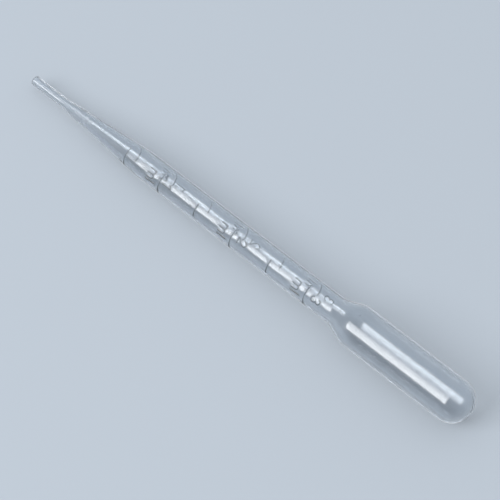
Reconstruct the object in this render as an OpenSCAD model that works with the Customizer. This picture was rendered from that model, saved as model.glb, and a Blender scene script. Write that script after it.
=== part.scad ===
// Plastic dropper pipette: a transfer pipette blow-moulded in one piece, with a squeeze bulb,
// a graduated stem and a drawn-out tip. It lies on its side, as it rests on a bench.

/* [Tip] */
// Outside diameter of the straight tip tube
tip_d = 2.9; // [2.2:0.1:4]
// Diameter of the bore through the tip tube
bore_d = 1.9; // [1:0.1:2]
// Length of the tip tube
tip_l = 12; // [8:0.5:24]
// Length of the taper from the tip tube to the stem
taper_l = 31; // [24:0.5:40]

/* [Stem] */
// Outside diameter of the stem
stem_d = 7.9; // [6:0.1:9.6]
// Wall of the stem
stem_wall = 0.5; // [0.3:0.05:0.8]
// Length of the straight stem
stem_l = 71.6; // [60:0.1:100]

/* [Bulb] */
// Outside diameter of the bulb
bulb_d = 12.2; // [10.1:0.1:16]
// Wall of the bulb, blown thinner than the stem
bulb_wall = 0.42; // [0.3:0.02:0.8]
// Wall at the end of the dome
dome_wall = 0.55; // [0.3:0.05:1]
// Length of the shoulder between the stem and the bulb
shoulder_l = 5.8; // [4:0.1:9]
// Length of the bulb's straight part
bulb_l = 33.5; // [20:0.5:60]

/* [Blends] */
// Radius where the tip tube opens into the taper
tip_blend = 14; // [1:1:30]
// Radius where the taper runs into the stem
taper_blend = 60; // [5:5:120]
// Radius where the stem turns out into the shoulder
neck_blend = 4; // [1:0.5:8]
// Radius where the shoulder turns into the bulb
shoulder_blend = 7; // [1:0.5:12]

/* [Graduation] */
// Distance of the first mark from the open end of the tip
first_mark = 38.7; // [20:0.1:50]
// Volume of the stem from one mark to the next, in millilitres
mark_volume = 0.5; // [0.25:0.25:1]
// Least length of stem left plain between the last mark and the shoulder
plain_l = 4; // [1:0.5:20]
// Width of a mark's raised bead
mark_w = 0.36; // [0.2:0.02:0.6]
// Height of the bead over the wall
mark_h = 0.12; // [0.05:0.01:0.2]
// Arc that a main mark covers
main_arc = 94; // [40:1:120]
// Arc that a mark between two numbered ones covers
minor_arc = 58; // [20:1:90]

/* [Parting line] */
// Width of the ridge where the halves of the mould met
seam_w = 0.25; // [0.1:0.05:0.5]
// Height of the ridge over the wall
seam_h = 0.05; // [0.02:0.01:0.1]

/* [Resting] */
// How far the pipette is rolled from having a row of marks on top
roll = 52; // [0:1:75]

/* [Hidden] */

// Degrees that one straight piece of a blend or of the dome may turn
arc_step = 4;
// How deep the parting ridge is rooted in the wall
seam_root = 0.1;

// Heights along the axis, from the open end of the tip
taper_end = tip_l + taper_l;
stem_end = taper_end + stem_l;
bulb_start = stem_end + shoulder_l;
bulb_end = bulb_start + bulb_l;

// The marks' spacing follows from the bore of the stem, and their number from its length
stem_bore_r = stem_d / 2 - stem_wall;
mark_step = 1000 * mark_volume / (PI * pow(stem_bore_r, 2));
last_mark = floor((stem_end - plain_l - first_mark) / mark_step);

// Radius of the round bead that stands mark_h over the wall and is mark_w wide where it meets it
bead_r = (pow(mark_w, 2) / 4 + pow(mark_h, 2)) / (2 * mark_h);

// Unit vector from point a to point b
function toward(a, b) = (b - a) / norm(b - a);

// The points of a list from last to first
function reversed(points) = [for (i = [len(points) - 1:-1:0]) points[i]];

// The corner b between the lines a-b and b-c, rounded with an arc tangent to both. The radius is
// cut down where a line is too short to hold half of the blends at its ends.
function rounded(a, b, c, radius) =
    let (
        run = toward(a, b),
        turn = acos(run * toward(b, c)),
        cut = min(radius * tan(turn / 2), norm(b - a) / 2, norm(c - b) / 2),
        r = cut / tan(turn / 2),
        start = b - run * cut,
        centre = b + toward(run, toward(b, c)) * r / cos(turn / 2),
        steps = ceil(turn / arc_step)
    )
    [for (i = [0:steps]) let (angle = turn * i / steps)
        centre + (start - centre) * cos(angle) + run * r * sin(angle)];

// Quarter of an ellipse from the bulb's end to the pole, r wide and h high
function dome(r, h) =
    let (steps = ceil(90 / arc_step))
    [for (i = [1:steps]) [r * cos(90 * i / steps), bulb_end + h * sin(90 * i / steps)]];

// One skin of the wall from the open end to the pole, as [radius, height] points
function skin(tip_r, stem_r, bulb_r, dome_h) =
    let (
        blends = [0, tip_blend, taper_blend, neck_blend, shoulder_blend],
        corners = [
            [tip_r, 0], [tip_r, tip_l], [stem_r, taper_end],
            [stem_r, stem_end], [bulb_r, bulb_start], [bulb_r, bulb_end]
        ]
    )
    concat(
        [corners[0]],
        [for (i = [1:4]) each rounded(corners[i - 1], corners[i], corners[i + 1], blends[i])],
        [corners[5]],
        dome(bulb_r, dome_h)
    );

// The outer skin, grown by a distance
function outside(grow) =
    skin(tip_d / 2 + grow, stem_d / 2 + grow, bulb_d / 2 + grow, bulb_d / 2 + grow);

outer = outside(0);
inner = skin(bore_d / 2, stem_bore_r, bulb_d / 2 - bulb_wall, bulb_d / 2 - dome_wall);

// Radius of the wall at a height along the axis
function wall_radius(height) = lookup(height, [for (p = outer) [p.y, p.x]]);

// All that can touch the bench: the wall, and the crests of the beads on it
crests = [for (i = [0:1:last_mark]) let (height = first_mark + i * mark_step)
    [wall_radius(height) + mark_h, height]];
underside = concat(outer, crests);

// The pipette lies on its stem and on its bulb. Among the slopes from each point of the stem's side
// to the steepest point of the bulb's side, the smallest is the line that touches both.
stem_side = [for (p = underside) if (p.y < stem_end) p];
bulb_side = [for (p = underside) if (p.y > stem_end) p];
rest_slope = min([for (a = stem_side) max([for (b = bulb_side) (b.x - a.x) / (b.y - a.y)])]);
rest_tilt = atan(rest_slope);

// Height of the axis at the open end over the bench, and the ends of the length on the bench
tip_height = max([for (p = underside) p.x * cos(rest_tilt) - p.y * sin(rest_tilt)]);
x_low = min([for (p = outer) p.y * cos(rest_tilt) - p.x * sin(rest_tilt)]);
x_high = max([for (p = outside(seam_h)) p.y * cos(rest_tilt) + p.x * sin(rest_tilt)]);

// Lays what stands on its tip, with its marks towards +X, down along +X with the tip at -X
module laid() {
    translate([-(x_low + x_high) / 2, 0, tip_height])
        rotate([0, 90 - rest_tilt, 0])
        rotate([0, 0, 180 + roll])
        children();
}

// The blown wall: both skins joined at the tip's rim and turned about the axis
module wall() {
    rotate_extrude($fn = 96)
        polygon(concat(outer, reversed(inner)));
}

// One raised graduation line at a height along the axis, centred on +X: a bead sunk in the wall
module mark(height, arc) {
    rotate_extrude(angle = arc, start = -arc / 2, $fn = 96)
        translate([wall_radius(height) + mark_h - bead_r, height])
        circle(bead_r, $fn = 24);
}

// The same graduation from each half of the mould. The marks between numbered ones are shorter.
module graduation() {
    for (half = [0, 180], i = [0:1:last_mark])
        rotate([0, 0, half])
            mark(first_mark + i * mark_step, i > 0 && i % 2 == 0 ? minor_arc : main_arc);
}

// Half of the pipette's outline in the plane of the axis, grown by a distance and mirrored
module outline(grow) {
    points = outside(grow);
    polygon(concat(points, [for (p = reversed(points)) if (p.x > 0) [-p.x, p.y]]));
}

// The fine ridge along the parting line, from the rim over the dome and back, a quarter turn from
// the marks
module parting_ridge() {
    rotate([90, 0, 90])
        linear_extrude(seam_w, center = true)
        difference() {
            outline(seam_h);
            outline(-seam_root);
        }
}

module pipette() {
    color([0.86, 0.9, 0.94, 0.45])
        laid() {
            wall();
            graduation();
            parting_ridge();
        }
}

pipette();
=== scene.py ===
import math

import bpy
import numpy as np
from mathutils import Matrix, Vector


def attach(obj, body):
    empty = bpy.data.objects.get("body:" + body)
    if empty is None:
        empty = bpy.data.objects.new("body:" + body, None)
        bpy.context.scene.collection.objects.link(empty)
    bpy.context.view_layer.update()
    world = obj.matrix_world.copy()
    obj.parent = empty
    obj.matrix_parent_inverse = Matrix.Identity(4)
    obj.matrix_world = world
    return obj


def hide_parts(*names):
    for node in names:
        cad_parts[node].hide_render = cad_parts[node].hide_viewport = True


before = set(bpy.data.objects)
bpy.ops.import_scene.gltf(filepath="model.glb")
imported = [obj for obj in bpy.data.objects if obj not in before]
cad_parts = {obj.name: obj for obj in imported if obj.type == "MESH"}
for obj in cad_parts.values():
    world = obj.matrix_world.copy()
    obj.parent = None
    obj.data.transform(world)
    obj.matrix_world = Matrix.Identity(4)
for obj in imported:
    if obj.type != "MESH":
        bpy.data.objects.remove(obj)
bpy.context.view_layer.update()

# ---- The pipette ---------------------------------------------------------------------------
# One piece of low-density polyethylene. A hot pipe was extruded from a die, shut in a cold
# two-part mould and blown out against it, so the wall is thinnest where it was blown widest.
# Sizes are in millimetres, as heights over the open end of the tip and radii about the axis.

MM = 0.001

TIP_D, BORE_D, TIP_L, TAPER_L = 2.9, 1.9, 12.0, 31.0
STEM_D, STEM_WALL, STEM_L = 7.9, 0.5, 71.6
BULB_D, BULB_WALL, DOME_WALL = 12.2, 0.42, 0.55
SHOULDER_L, BULB_L = 5.8, 33.5
BLENDS = (14.0, 60.0, 4.0, 7.0)  # radii at the tip, taper, neck and shoulder
RIM_EDGE = 0.08  # radius that cutting the tip off left on its edges
ARC_STEP, CAD_ARC_STEP = 1.0, 4.0  # degrees that one straight piece of a blend may turn
EDGE_STEPS = 6  # straight pieces round each edge of the rim

TAPER_END = TIP_L + TAPER_L
STEM_END = TAPER_END + STEM_L
BULB_START = STEM_END + SHOULDER_L
BULB_END = BULB_START + BULB_L
TIP_R, STEM_R, BULB_R = TIP_D / 2, STEM_D / 2, BULB_D / 2


def unit(vector):
    """The vector of length 1 in the same direction."""
    return vector / np.linalg.norm(vector)


def skin(tip_r, stem_r, bulb_r, dome_h, arc_step=ARC_STEP):
    """One side of the wall as rows of (radius, height), from the open end to the pole.

    Straight runs join six corners. Each of the four inner corners is replaced by the arc that
    touches both its runs, cut down where it would take more than half of either. The dome is a
    quarter of an ellipse, bulb_r wide and dome_h high.
    """
    corners = np.array([
        (tip_r, 0), (tip_r, TIP_L), (stem_r, TAPER_END),
        (stem_r, STEM_END), (bulb_r, BULB_START), (bulb_r, BULB_END),
    ])
    parts = [corners[:1]]
    for i, blend in enumerate(BLENDS, start=1):
        before, corner, after = corners[i - 1:i + 2]
        come, go = unit(corner - before), unit(after - corner)
        turn = math.acos(come @ go)
        half = math.tan(turn / 2)
        cut = min(blend * half, *(np.linalg.norm(b - corner) / 2 for b in (before, after)))
        radius = cut / half
        start = corner - come * cut
        centre = corner + unit(go - come) * radius / math.cos(turn / 2)
        steps = math.ceil(math.degrees(turn) / arc_step)
        angle = np.linspace(0, turn, steps + 1)[:, None]
        parts.append(centre + (start - centre) * np.cos(angle) + come * radius * np.sin(angle))
    parts.append(corners[5:])
    angle = np.linspace(0, np.pi / 2, math.ceil(90 / arc_step) + 1)[1:, None]
    parts.append(np.hstack([bulb_r * np.cos(angle), BULB_END + dome_h * np.sin(angle)]))
    return np.vstack(parts)


def rim(tip_r, bore_r, edge):
    """The cut end as rows of (radius, height), from outside to inside: two quarter circles of
    radius edge with the flat between them."""
    angle = np.linspace(0, np.pi / 2, EDGE_STEPS + 1)[:, None]
    outer_edge = np.hstack([tip_r - edge + edge * np.cos(angle), edge - edge * np.sin(angle)])
    inner_edge = np.hstack([bore_r + edge - edge * np.cos(angle), edge - edge * np.sin(angle)])
    return np.vstack([outer_edge, inner_edge[::-1]])


outer = skin(TIP_R, STEM_R, BULB_R, BULB_R)
inner = skin(BORE_D / 2, STEM_R - STEM_WALL, BULB_R - BULB_WALL, BULB_R - DOME_WALL)
path = np.vstack([outer[:0:-1], rim(TIP_R, BORE_D / 2, RIM_EDGE), inner[1:]])
length = np.r_[0, np.cumsum(np.hypot(*np.diff(path, axis=0).T))]
rim_at = length[len(outer) - 1]

# Graduation: fine grooves and figures cut in both halves of the mould leave raised beads, a line
# each half millilitre and a figure with its unit at each whole one. The spacing of the lines
# follows from the bore of the stem. A line between numbered ones is shorter.

FIRST_MARK, MARK_ML, PLAIN_L = 38.7, 0.5, 4.0
MARK_STEP = 1000 * MARK_ML / (math.pi * (STEM_R - STEM_WALL) ** 2)
MARKS = np.arange(FIRST_MARK, STEM_END - PLAIN_L, MARK_STEP)
NUMBERED = MARKS[1::2]
MARK_W, MARK_H, MAIN_ARC, MINOR_ARC = 0.36, 0.12, 94.0, 58.0
STROKE_W, STROKE_H = 0.42, 0.12
FIGURE_W, FIGURE_H = 1.5, 2.9  # between the middles of the strokes
UNIT_FOOT, UNIT_H = -4.55, 2.9


def bead(distance, width, high):
    """Height of a round bead: a circle through both its feet, width apart, and its crest."""
    r = (width ** 2 / 4 + high ** 2) / (2 * high)
    return np.sqrt(np.maximum(r ** 2 - distance ** 2, 0)).clip(r - high) + high - r


def to_line(a, b, start, end):
    """Distance from the points (a, b) to the straight stroke from start to end."""
    (x0, y0), (x1, y1) = start, end
    run = np.array([x1 - x0, y1 - y0])
    share = (((a - x0) * run[0] + (b - y0) * run[1]) / (run @ run)).clip(0, 1)
    return np.hypot(a - x0 - share * run[0], b - y0 - share * run[1])


def to_arc(a, b, centre, r, first, last):
    """Distance from the points (a, b) to an arc about centre, from first to last degrees."""
    x, y = a - centre[0], b - centre[1]
    middle, half = math.radians((first + last) / 2), math.radians(abs(last - first) / 2)
    angle = (np.arctan2(y, x) - middle + np.pi) % (2 * np.pi) - np.pi
    ends = [np.hypot(x - r * math.cos(middle + s), y - r * math.sin(middle + s))
            for s in (-half, half)]
    return np.where(np.abs(angle) <= half, np.abs(np.hypot(x, y) - r), np.minimum(*ends))


def figure_one(a, b):
    """A plain 1: an upright with a flag to the left of its top."""
    x, flag_w, flag_h = 0.35, 0.85, 0.55
    return np.minimum(to_line(a, b, (x, 0), (x, FIGURE_H)),
                      to_line(a, b, (x, FIGURE_H), (x - flag_w, FIGURE_H - flag_h)))


def figure_two(a, b):
    """A plain 2: a hook over the top, a slanting stroke and a flat foot."""
    r = FIGURE_W / 2
    return np.minimum.reduce([
        to_arc(a, b, (0, FIGURE_H - r), r, -30, 175),
        to_line(a, b, (r * 0.87, FIGURE_H - r * 1.5), (-r, 0)),
        to_line(a, b, (-r, 0), (r, 0)),
    ])


def figure_three(a, b):
    """A plain 3: two bowls, the lower one larger, that meet at the middle."""
    low = FIGURE_W / 2 + 0.03
    high = FIGURE_H / 2 - low
    return np.minimum(to_arc(a, b, (0, low), low, -165, 85),
                      to_arc(a, b, (0, FIGURE_H - high), high, -80, 165))


def unit_ml(a, b):
    """The letters ml from their foot: three uprights and two arches, then a taller upright."""
    left, width, high, last = -2.15, 1.25, 2.05, 1.27
    r = width / 2
    strokes = [to_line(a, b, (left, 0), (left, high)), to_line(a, b, (last, 0), (last, UNIT_H))]
    for x in (left, left + width):
        strokes.append(to_arc(a, b, (x + r, high - r), r, 0, 180))
        strokes.append(to_line(a, b, (x + width, 0), (x + width, high - r)))
    return np.minimum.reduce(strokes)


# Each figure with its middle, across from the middle line of the marks, and its foot over its mark
FIGURES = ((figure_one, -0.8, 1.05), (figure_two, -0.87, 2.2), (figure_three, -0.57, 2.1))


def to_marks(across, along):
    """Distance to the nearest mark. across is the arc length from the marks' middle line and
    along the height over the open end, both as whole grids."""
    halves = [math.radians(MINOR_ARC if i > 0 and i % 2 == 0 else MAIN_ARC) / 2 * STEM_R
              for i in range(len(MARKS))]
    return np.minimum.reduce([np.hypot(np.maximum(np.abs(across) - half, 0), along - mark)
                              for mark, half in zip(MARKS, halves)])


def to_figures(across, along):
    """Distance to the nearest stroke of the figures and units beside the numbered marks."""
    strokes = []
    for mark, (figure, middle, foot) in zip(NUMBERED, FIGURES):
        strokes.append(figure(across - middle, along - mark - foot))
        strokes.append(unit_ml(across, along - mark - UNIT_FOOT))
    return np.minimum.reduce(strokes)


# Rows of the mesh follow the path from the outer pole, round the rim and back inside. The path is
# first cut into short equal lengths, and the rows then fall close together where there is detail.

ROW_CUTS = 20000
ROW_AT = [0, 1, 14, 40, 45, 111, 113.5, 123, 126, 152, 154, 160]  # heights over the open end
ROW_GAP = [0.3, 1.2, 1.2, 1.8, 1.4, 1.4, 0.3, 0.3, 1.6, 1.6, 0.34, 0.34]  # between plain rows
INSIDE_GAP = 1.6  # times as wide on the plain inside of the wall
FIGURE_GAPS, MARK_GAPS, RIM_GAP = (0.115, 0.23), (0.065, 0.1625), 0.04  # outside and inside
UNIT_ROWS, FIGURE_ROWS = (-4.8, -1.4), (0.8, 5.3)  # heights over a numbered mark
MARK_ROWS, RIM_ROWS = 0.26, 0.4  # to either side of a mark, and of the rim's edge

fine = np.linspace(0, length[-1], ROW_CUTS + 1)
radius, height = (np.interp(fine, length, path[:, k]) for k in (0, 1))
outside = fine < rim_at


def between(offsets, low, high):
    """Where any of the offsets in a row lies from low to high."""
    return ((offsets >= low) & (offsets <= high)).any(1)


step = np.interp(height, ROW_AT, ROW_GAP)
step[~outside] *= INSIDE_GAP
from_number = height[:, None] - NUMBERED
at_figures = between(from_number, *UNIT_ROWS) | between(from_number, *FIGURE_ROWS)
step[at_figures] = np.where(outside, *FIGURE_GAPS)[at_figures]
at_marks = between(height[:, None] - MARKS, -MARK_ROWS, MARK_ROWS)
step[at_marks] = np.where(outside, *MARK_GAPS)[at_marks]
step[np.abs(fine - rim_at) < RIM_ROWS] = RIM_GAP
count = np.r_[0, np.cumsum(np.diff(fine) / step[1:])]
at = np.interp(np.linspace(0, count[-1], math.ceil(count[-1]) + 1), count, fine)
row_r, row_z = np.interp(at, fine, radius)[:, None], np.interp(at, fine, height)[:, None]
row_outside = (at < rim_at)[:, None]
slope_r, slope_z = (np.interp(at, fine, np.gradient(v, fine)) for v in (radius, height))
normal = np.stack([-slope_z, slope_r], -1) / np.hypot(slope_r, slope_z)[:, None]

# Columns go round the axis from the middle line of the marks, close together at the figures and at
# the parting line, a quarter turn away. Both halves of the mould are alike.

COLUMN_CUTS = 14400
COLUMN_AT = [-90, -86.5, -84, -54, -49, -39, -36, 24, 27, 49, 54, 84, 86.5, 90]  # degrees
COLUMN_GAP = [1.1, 1.1, 6.5, 6.5, 2.5, 2.5, 1.55, 1.55, 2.5, 2.5, 6.5, 6.5, 1.1, 1.1]


def off_marks(turn):
    """Angle in radians from the nearer of the two middle lines of the marks."""
    return np.arctan2(np.sin(2 * turn), np.cos(2 * turn)) / 2


round_fine = np.linspace(0, 2 * np.pi, COLUMN_CUTS + 1)
gap = np.interp(np.degrees(off_marks(round_fine)), COLUMN_AT, COLUMN_GAP)
count = np.r_[0, np.cumsum(np.diff(np.degrees(round_fine)) / gap[1:])]
columns = math.ceil(count[-1] / 2) * 2
turn = np.interp(np.linspace(0, count[-1], columns + 1), count, round_fine)[None, :-1]

# Each row meets each column in a point of the wall, which is then moved along the wall's normal.

across = off_marks(turn) * STEM_R
mark_far, figure_far = to_marks(across, row_z), to_figures(across, row_z)
raised = np.maximum(bead(mark_far, MARK_W, MARK_H), bead(figure_far, STROKE_W, STROKE_H))

# The air that pressed the wall into those grooves left a soft hollow behind each bead.
HOLLOW_R, HOLLOW_H = 0.34, 0.08
hollow = HOLLOW_H * np.exp(-(np.minimum(mark_far, figure_far) / HOLLOW_R) ** 2)

# A fine ridge runs along both sides and over the dome, where the halves of the mould met.
SEAM_W, SEAM_H, SEAM_FALL = 0.25, 0.05, 1.5
off_seam = row_r * np.abs(np.cos(turn)) / (SEAM_W / 2)
ridge = SEAM_H * np.exp(-SEAM_FALL * off_seam ** 2)

# A small round pip stands on the dome, left by a vent of the mould.
PIP_AT, PIP_TURN, PIP_R, PIP_H = 155.7, 4.3, 0.21, 0.12  # the second in degrees
off_pip = np.hypot(row_z - PIP_AT, row_r * (turn - math.radians(PIP_TURN))) / PIP_R
pip = PIP_H * np.exp(-off_pip ** 2)

lift = np.where(row_outside, np.maximum(raised, ridge) + pip, -hollow)
wall_r = row_r + lift * normal[:, :1]
wall_z = row_z + lift * normal[:, 1:]
standing = np.stack([wall_r * np.cos(turn), wall_r * np.sin(turn), wall_z], -1)

# It lies as it comes to rest: on the foot of its stem and on its bulb, rolled so that one row of
# marks looks up and to the side. The line under both is the lowest of the steepest lines from a
# point of the stem to the bulb.

ROLL = 52.0
profile = skin(TIP_R, STEM_R, BULB_R, BULB_R, CAD_ARC_STEP)
stem_side, bulb_side = profile[profile[:, 1] < STEM_END], profile[profile[:, 1] > STEM_END]
rise, run = (bulb_side[None, :, k] - stem_side[:, None, k] for k in (0, 1))
TILT = math.atan((rise / run).max(1).min())
TIP_HEIGHT = (profile[:, 0] * math.cos(TILT) - profile[:, 1] * math.sin(TILT)).max()
x_low = (profile[:, 1] * math.cos(TILT) - profile[:, 0] * math.sin(TILT)).min()
with_seam = skin(TIP_R + SEAM_H, STEM_R + SEAM_H, BULB_R + SEAM_H, BULB_R + SEAM_H, CAD_ARC_STEP)
x_high = (with_seam[:, 1] * math.cos(TILT) + with_seam[:, 0] * math.sin(TILT)).max()


def laid(points):
    """Lays what stands on its tip: rolled about its axis, then tipped over towards +X."""
    roll, tip = math.radians(180 + ROLL), math.radians(90) - TILT
    x = points[..., 0] * math.cos(roll) - points[..., 1] * math.sin(roll)
    y = points[..., 0] * math.sin(roll) + points[..., 1] * math.cos(roll)
    z = points[..., 2]
    return np.stack([x * math.cos(tip) + z * math.sin(tip) - (x_low + x_high) / 2, y,
                     -x * math.sin(tip) + z * math.cos(tip) + TIP_HEIGHT], -1) * MM


def lathe(grid):
    """A closed mesh from a grid of rows by columns: quads between rows, and a fan at each pole,
    where the first and last rows have shrunk to one point."""
    rows, columns = grid.shape[:2]
    first, last = grid[0].mean(0), grid[-1].mean(0)
    vertices = np.vstack([first[None], grid[1:-1].reshape(-1, 3), last[None]])
    index = 1 + np.arange((rows - 2) * columns).reshape(rows - 2, columns)
    index = np.hstack([index, index[:, :1]])
    quads = np.stack([index[:-1, :-1], index[1:, :-1], index[1:, 1:], index[:-1, 1:]], -1)
    end = len(vertices) - 1
    fans = [np.stack([np.zeros(columns, int), index[0, :-1], index[0, 1:]], -1),
            np.stack([np.full(columns, end), index[-1, 1:], index[-1, :-1]], -1)]
    return vertices, quads.reshape(-1, 4).tolist() + np.vstack(fans).tolist()


vertices, faces = lathe(laid(standing))
mesh = bpy.data.meshes.new("pipette_shell")
mesh.from_pydata(vertices, [], faces)
mesh.polygons.foreach_set("use_smooth", np.ones(len(faces), bool))
mesh.update()
# How far up its bead each point stands, for the plastic's painted shade and dullness on the beads
bead_share = np.where(row_outside, raised / MARK_H, 0)[1:-1].ravel()
mesh.attributes.new("raised", "FLOAT", "POINT").data.foreach_set(
    "value", np.r_[0, bead_share, 0].astype(np.float32))
shell = bpy.data.objects.new("pipette_shell", mesh)
bpy.context.scene.collection.objects.link(shell)


def linear(hex_colour):
    """A colour written as sRGB hex, as the linear values that a shader takes."""
    c = np.array([int(hex_colour[i:i + 2], 16) / 255 for i in (1, 3, 5)])
    c = np.where(c <= 0.04045, c / 12.92, ((c + 0.055) / 1.055) ** 2.4)
    return (*c.tolist(), 1.0)


def add(tree, kind, inputs=None, **settings):
    """Adds a node to tree, sets its properties, and gives each input a value or a link."""
    node = tree.nodes.new(kind)
    for name, value in settings.items():
        setattr(node, name, value)
    for name, value in (inputs or {}).items():
        if isinstance(value, bpy.types.NodeSocket):
            tree.links.new(value, node.inputs[name])
        else:
            node.inputs[name].default_value = value
    return node


# Natural low-density polyethylene, blown thin: nearly clear, with the waxy bloom of its crystals
# where the wall is seen edge on. The mould's fine blast leaves the gloss a little soft.
plastic = bpy.data.materials.new("blown_natural_ldpe")
plastic.use_nodes = True
tree = plastic.node_tree
tree.nodes.clear()
place = add(tree, "ShaderNodeTexCoord").outputs["Object"]

# The haze comes in clouds some 5.5 mm across.
CLOUD_MM = 5.5
cloud = add(tree, "ShaderNodeTexNoise", {"Vector": place, "Scale": 1 / (CLOUD_MM * MM),
                                         "Detail": 3.0})
body = add(tree, "ShaderNodeMix", {"Factor": cloud.outputs["Fac"], "A": linear("#F7F9FB"),
                                   "B": linear("#EDF1F5")}, data_type="RGBA")

# A bead of the graduation is thicker than the wall. It is painted darker, as painted shade for the
# dark lines that its slopes show against the gloss, and it is dull as well, to stand out clean. A
# gel, a speck of unmelted plastic 0.3 mm across, is as dark and dull in its own colour, and fades
# out between these two distances from its middle.
GEL_CORE_MM, GEL_EDGE_MM, GEL_APART_MM = 0.09, 0.18, 5.0
gels = add(tree, "ShaderNodeTexVoronoi", {"Vector": place, "Scale": 1 / (GEL_APART_MM * MM)})
gel = add(tree, "ShaderNodeMapRange", {"Value": gels.outputs["Distance"],
                                       "From Min": GEL_CORE_MM / GEL_APART_MM,
                                       "From Max": GEL_EDGE_MM / GEL_APART_MM,
                                       "To Min": 1.0, "To Max": 0.0})
on_bead = add(tree, "ShaderNodeAttribute", attribute_name="raised")
bead_shade_and_gel = add(tree, "ShaderNodeMath", {0: on_bead.outputs["Fac"], 1: gel.outputs["Result"]},
           operation="MAXIMUM")
# Painted shade on the beads, and the gels' own dark colour, mixed into the body colour
colour = add(tree, "ShaderNodeMix", {"Factor": bead_shade_and_gel.outputs["Value"], "A": body.outputs["Result"],
                                     "B": linear("#4E5A68")}, data_type="RGBA")
dull_rough = add(tree, "ShaderNodeMapRange", {"Value": bead_shade_and_gel.outputs["Value"], "From Max": 0.3,
                                              "To Min": 0.04, "To Max": 0.33})

# The tip has a softer gloss, up to 20 mm from its open end, so that the reflections in so thin a
# tube come out clean. It is set for that alone: a real tip is about as glossy as the stem.
TIP_SOFT, TIP_FADE = 20.0, 4.0
tip_x = laid(np.zeros(3))[0]
position = add(tree, "ShaderNodeSeparateXYZ", {"Vector": place})
tip_rough = add(tree, "ShaderNodeMapRange", {"Value": position.outputs["X"],
                                             "From Min": tip_x + TIP_SOFT * MM,
                                             "From Max": tip_x + (TIP_SOFT + TIP_FADE) * MM,
                                             "To Min": 0.28, "To Max": 0.04})
rough = add(tree, "ShaderNodeMath", {0: dull_rough.outputs["Result"],
                                     1: tip_rough.outputs["Result"]}, operation="MAXIMUM")

# Faint lines run along the axis, left by the die. Real ones are some 0.2 mm apart. These are
# 0.8 mm apart, to show at all.
DIE_LINE_MM, DIE_LINE_L_MM, DIE_LINE_H_MM = 0.8, 16.0, 0.006
along_axis = add(tree, "ShaderNodeMapping", {
    "Vector": place, "Rotation": (0, TILT, 0),
    "Scale": (1 / (DIE_LINE_L_MM * MM), 1 / (DIE_LINE_MM * MM), 1 / (DIE_LINE_MM * MM))})
die_lines = add(tree, "ShaderNodeTexNoise", {"Vector": along_axis.outputs["Vector"],
                                             "Scale": 1.0, "Detail": 2.0, "Roughness": 0.6})
grain = add(tree, "ShaderNodeBump", {"Height": die_lines.outputs["Fac"], "Strength": 1.0,
                                     "Distance": DIE_LINE_H_MM * MM})
wall = add(tree, "ShaderNodeBsdfPrincipled", {
    "Base Color": colour.outputs["Result"], "Roughness": rough.outputs["Value"],
    "IOR": 1.51, "Transmission Weight": 1.0, "Specular Tint": (0, 0, 0, 1),
    "Coat Weight": 1.0, "Coat Roughness": 0.1, "Coat IOR": 1.51,
    "Sheen Weight": 0.8, "Sheen Roughness": 0.3,
    "Normal": grain.outputs["Normal"], "Coat Normal": grain.outputs["Normal"]})

# Light for the bench goes straight through the thin wall, less where it is crossed at a slant.
rays = add(tree, "ShaderNodeLightPath")
slant = add(tree, "ShaderNodeLayerWeight", {"Blend": 0.5})
veil = add(tree, "ShaderNodeMix", {"Factor": slant.outputs["Facing"], "A": linear("#F8F8F8"),
                                   "B": linear("#BCBCBC")}, data_type="RGBA")
through = add(tree, "ShaderNodeBsdfTransparent", {"Color": veil.outputs["Result"]})
for_lamps = add(tree, "ShaderNodeMixShader", {0: rays.outputs["Is Shadow Ray"],
                                              1: wall.outputs["BSDF"], 2: through.outputs["BSDF"]})
for_bench = add(tree, "ShaderNodeMixShader", {0: rays.outputs["Is Diffuse Ray"],
                                              1: for_lamps.outputs["Shader"],
                                              2: through.outputs["BSDF"]})
add(tree, "ShaderNodeOutputMaterial", {"Surface": for_bench.outputs["Shader"]})
mesh.materials.append(plastic)

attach(shell, "root")
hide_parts("pipette")

# ---- Bench ---------------------------------------------------------------------------------
# A plain sheet of matt paper, laid flat and far wider than the pipette is long.

BENCH_SIDE = 1.8
corner = BENCH_SIDE / 2
bench_mesh = bpy.data.meshes.new("bench_paper")
bench_mesh.from_pydata([(-corner, -corner, 0), (corner, -corner, 0), (corner, corner, 0),
                        (-corner, corner, 0)], [], [(0, 1, 2, 3)])
bench = bpy.data.objects.new("bench_paper", bench_mesh)
bpy.context.scene.collection.objects.link(bench)

# Uncoated paper dyed a pale grey-blue: no gloss, and no pattern at this distance
PAPER_COLOUR = "#B9C2CC"
paper = bpy.data.materials.new("uncoated_paper")
paper.use_nodes = True
tree = paper.node_tree
tree.nodes.clear()
sheet = add(tree, "ShaderNodeBsdfPrincipled", {"Base Color": linear(PAPER_COLOUR),
                                               "Roughness": 0.9, "Specular IOR Level": 0.2})
add(tree, "ShaderNodeOutputMaterial", {"Surface": sheet.outputs["BSDF"]})
bench_mesh.materials.append(paper)

# ---- Light ---------------------------------------------------------------------------------
# One long softbox beside the pipette, brightest low down, as three strips that join edge to edge,
# and the even light of a room whose walls have the colour of the bench.

LAMP_AWAY, LAMP_START, LAMP_END = 2.5, -1.68, 0.17  # from the axis, and along the bench


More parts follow.
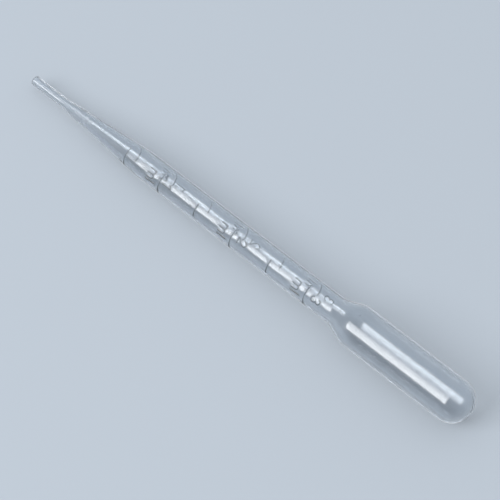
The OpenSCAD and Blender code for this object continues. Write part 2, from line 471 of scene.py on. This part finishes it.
def softbox(name, turn, span, level):
    """A flat lamp along the pipette that faces its axis. turn is its middle, in degrees from
    overhead, span what it covers seen from the axis, and level its power by square metre."""
    high = 2 * LAMP_AWAY * math.tan(math.radians(span / 2))
    long = LAMP_END - LAMP_START
    lamp = bpy.data.lights.new(name, "AREA")
    lamp.shape, lamp.size, lamp.size_y = "RECTANGLE", long, high
    lamp.energy = level * long * high
    ob = bpy.data.objects.new(name, lamp)
    bpy.context.scene.collection.objects.link(ob)
    out = Vector((0, -math.sin(math.radians(turn)), math.cos(math.radians(turn))))
    ob.location = out * LAMP_AWAY + Vector(((LAMP_START + LAMP_END) / 2, 0, 0))
    ob.rotation_euler = out.to_track_quat("Z", "Y").to_euler()
    ob.visible_camera = False


softbox("softbox_low", 56, 21, 20.5)
softbox("softbox_middle", 41, 9, 15.5)
softbox("softbox_high", 32, 9, 10.0)

world = bpy.data.worlds.new("room")
bpy.context.scene.world = world
world.use_nodes = True
tree = world.node_tree
tree.nodes.clear()
light = add(tree, "ShaderNodeBackground", {"Color": linear("#F2F4F6"), "Strength": 0.72})
walls = add(tree, "ShaderNodeBackground", {"Color": linear(PAPER_COLOUR), "Strength": 1.0})
rays = add(tree, "ShaderNodeLightPath")
seen = add(tree, "ShaderNodeMath", {0: rays.outputs["Is Camera Ray"],
                                    1: rays.outputs["Is Glossy Ray"]},
           operation="ADD", use_clamp=True)
seen = add(tree, "ShaderNodeMath", {0: seen.outputs["Value"],
                                    1: rays.outputs["Is Transmission Ray"]},
           operation="ADD", use_clamp=True)
room = add(tree, "ShaderNodeMixShader", {0: seen.outputs["Value"], 1: light.outputs["Background"],
                                         2: walls.outputs["Background"]})
add(tree, "ShaderNodeOutputWorld", {"Surface": room.outputs["Shader"]})

# ---- Camera --------------------------------------------------------------------------------
# Above the bulb and to its side, looking down along the pipette with a long lens.

AZIMUTH, ELEVATION, DISTANCE = math.radians(43.75), math.radians(55.44), 0.677
AIM = Vector((0.004, -0.0012, 0.005))
LENS_MM, SENSOR_MM, NEAREST = 184.0, 36.0, 0.01
camera_data = bpy.data.cameras.new("camera")
camera_data.lens, camera_data.sensor_width = LENS_MM, SENSOR_MM
camera_data.clip_start = NEAREST
camera = bpy.data.objects.new("camera", camera_data)
bpy.context.scene.collection.objects.link(camera)
back = Vector((math.sin(AZIMUTH) * math.cos(ELEVATION), -math.cos(AZIMUTH) * math.cos(ELEVATION),
               math.sin(ELEVATION)))
camera.location = AIM + back * DISTANCE
camera.rotation_euler = (math.pi / 2 - ELEVATION, 0, AZIMUTH)
bpy.context.scene.camera = camera
bpy.context.scene.view_settings.view_transform = "Standard"
